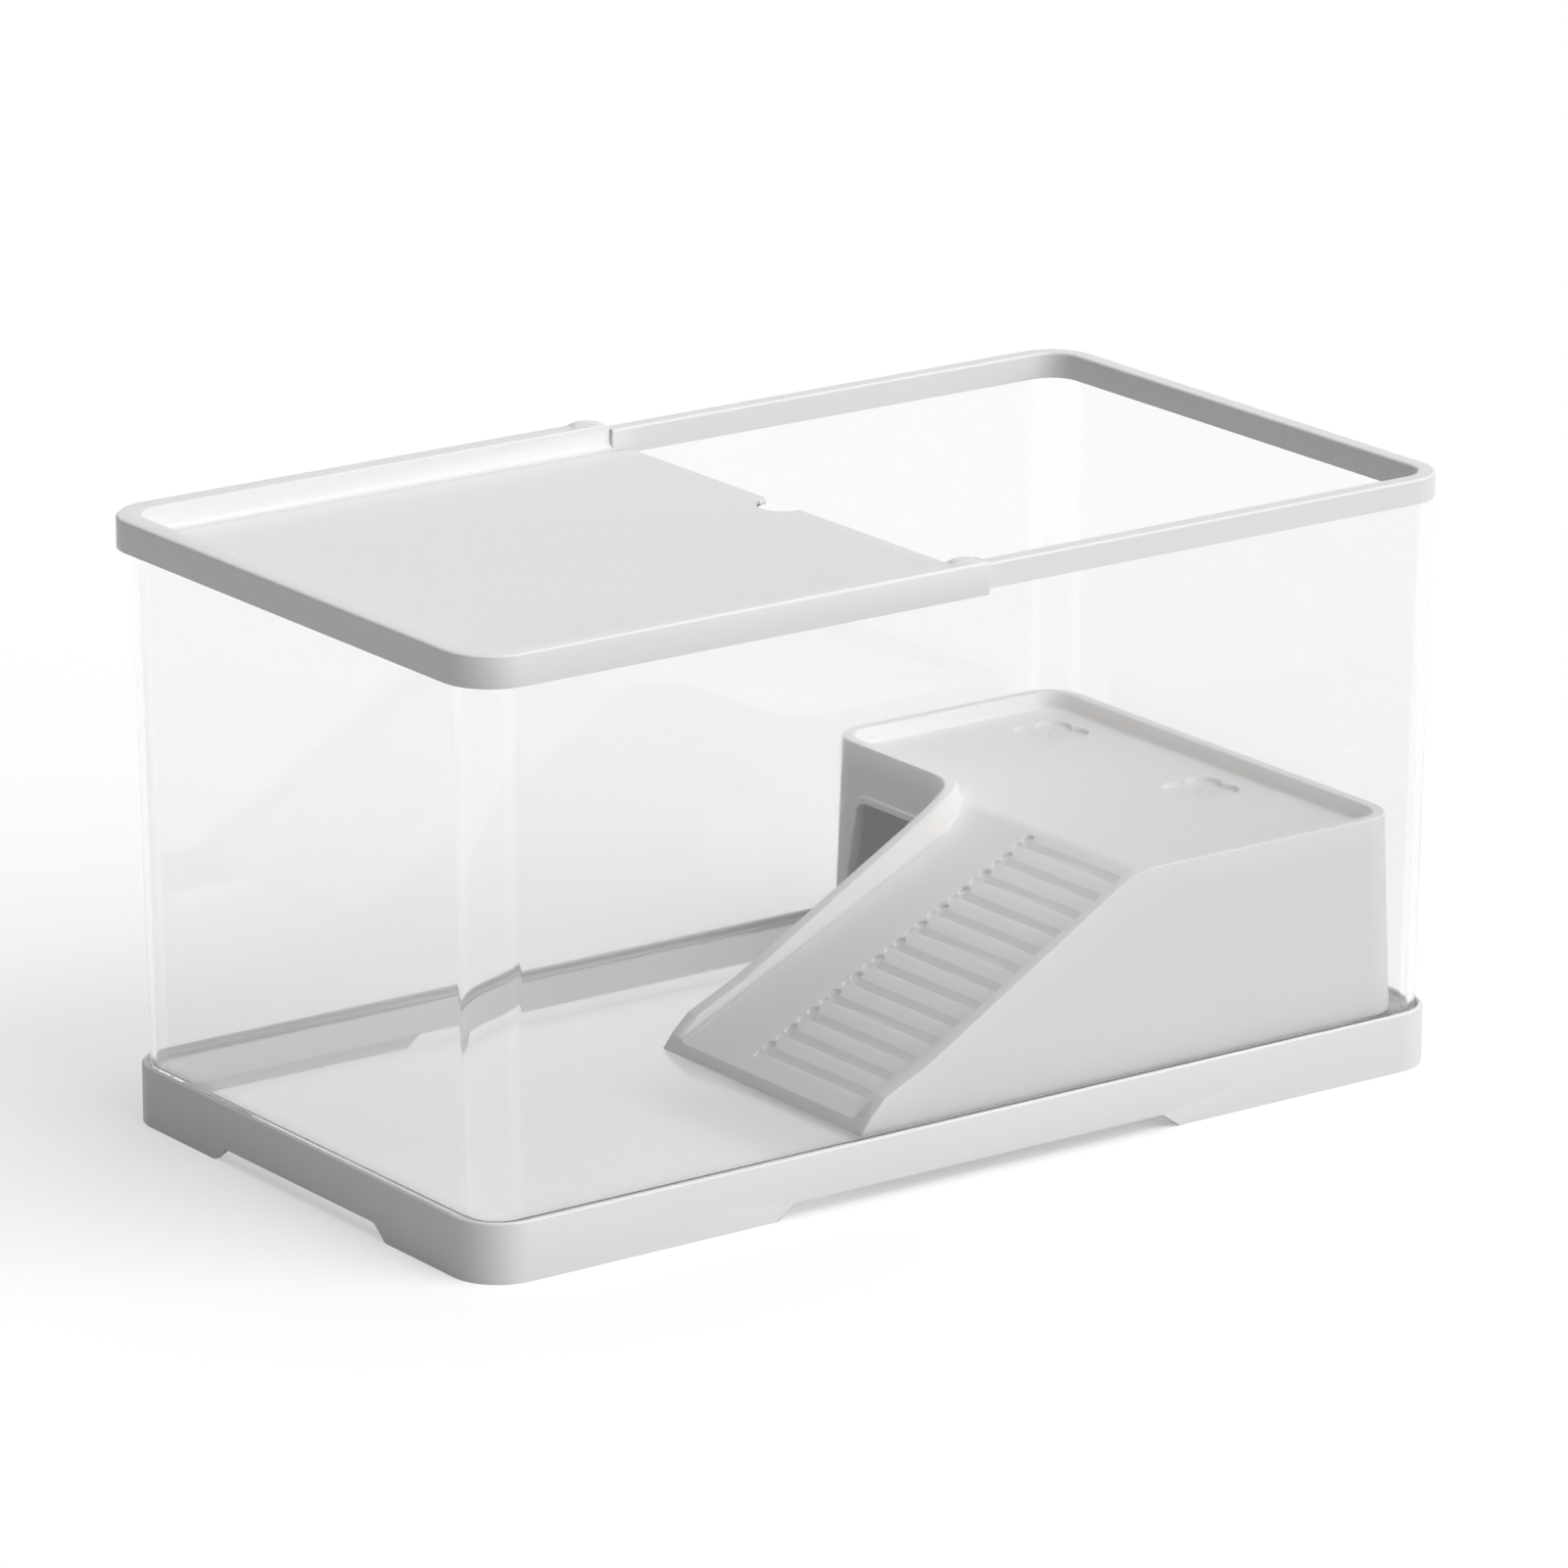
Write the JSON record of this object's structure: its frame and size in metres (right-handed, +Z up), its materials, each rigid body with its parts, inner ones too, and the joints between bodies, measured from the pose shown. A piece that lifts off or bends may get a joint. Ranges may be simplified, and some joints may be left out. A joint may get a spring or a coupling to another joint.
{
  "type": "turtle tank",
  "caption": "Clear plastic turtle tank on a white base frame, with a white top rim, a half lid with a finger notch, and a basking platform with a grooved ramp and a cave opening.",
  "frame": {"origin": "middle of the whole object's footprint on the plane of the base frame's feet", "axes": "+X along the tank from the lidded end to the open end, +Y from front to back, +Z up"},
  "size_m": [0.4038, 0.2276, 0.214],
  "materials": {
    "white_plastic": "satin moulded white",
    "clear_plastic": "clear polished",
    "platform_plastic": "fine matt warm off-white"
  },
  "bodies": {
    "root": {"base_frame": "white_plastic", "clear_tank": "clear_plastic", "top_rim": "white_plastic", "half_lid": "white_plastic", "basking_platform": "platform_plastic"}
  },
  "joints": []
}
